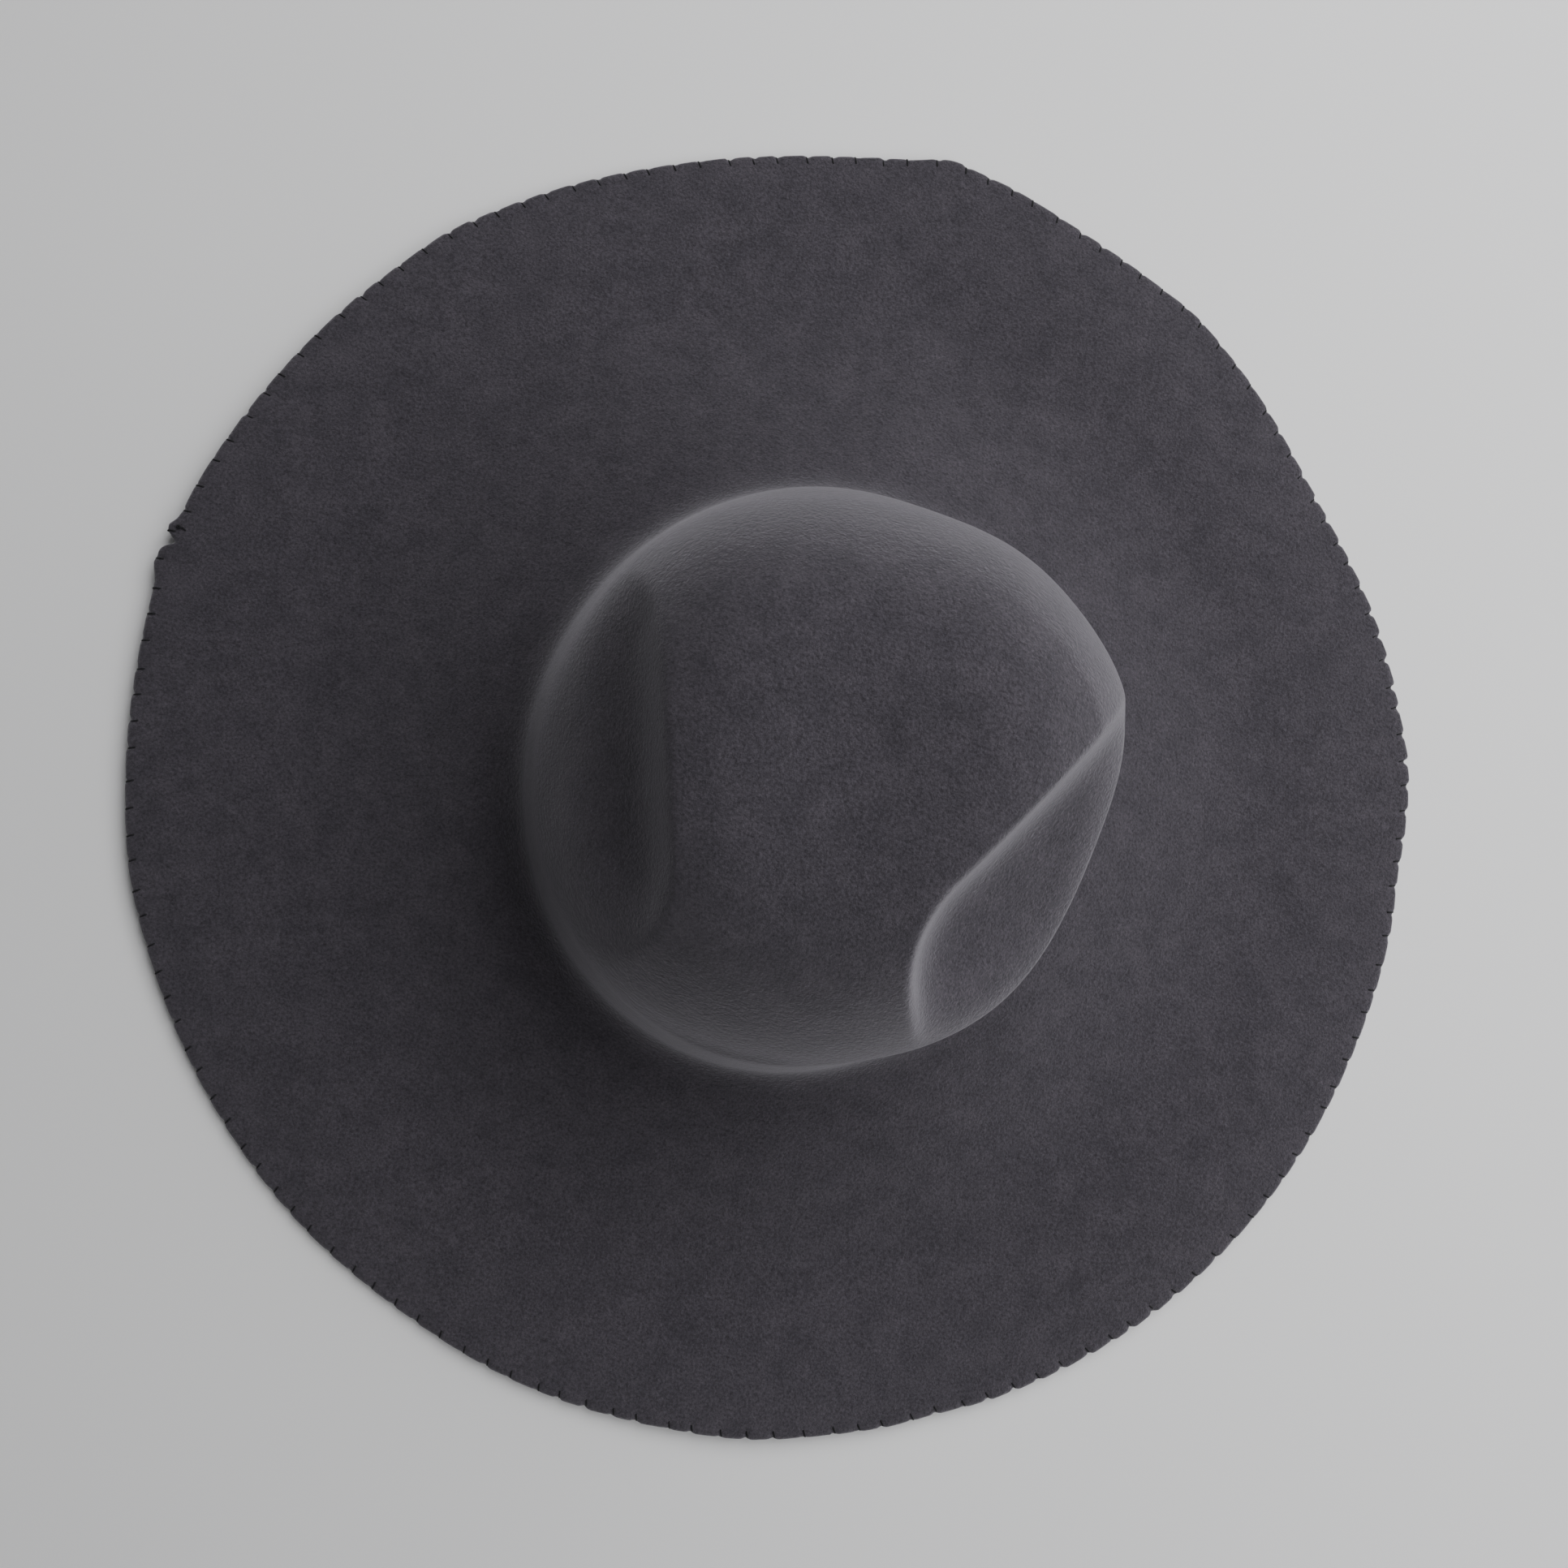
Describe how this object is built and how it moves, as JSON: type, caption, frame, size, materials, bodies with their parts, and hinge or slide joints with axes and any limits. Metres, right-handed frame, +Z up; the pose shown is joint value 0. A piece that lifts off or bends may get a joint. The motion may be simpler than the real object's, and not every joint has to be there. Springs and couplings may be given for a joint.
{
  "type": "wide-brim felt hat",
  "caption": "Wide-brimmed felt hat with a pinched, side-dented crown, whip-stitched brim edge and a leather sweatband.",
  "frame": {"origin": "on the surface the brim rests on, under the middle of the head opening", "axes": "+Z up, front of the hat towards -Y, +X to the right seen from above with the front down"},
  "size_m": [0.425, 0.425, 0.1195],
  "materials": {
    "felt": "matte",
    "thread": "matte",
    "band_leather": "satin",
    "band_thread": "matte",
    "ribbon": "satin",
    "tab_cloth": "satin"
  },
  "bodies": {
    "root": {"felt_hood": "felt", "edge_whipstitch": "thread", "edge_thread_knot": "thread", "sweatband": "band_leather", "sweatband_reed": "band_leather", "sweatband_stitches": "band_thread", "band_join_tape": "band_leather", "rear_bow_loops": "ribbon", "rear_bow_knot": "ribbon", "rear_bow_tack": "band_thread", "size_tab": "tab_cloth", "size_tab_stitches": "band_thread"}
  },
  "joints": []
}
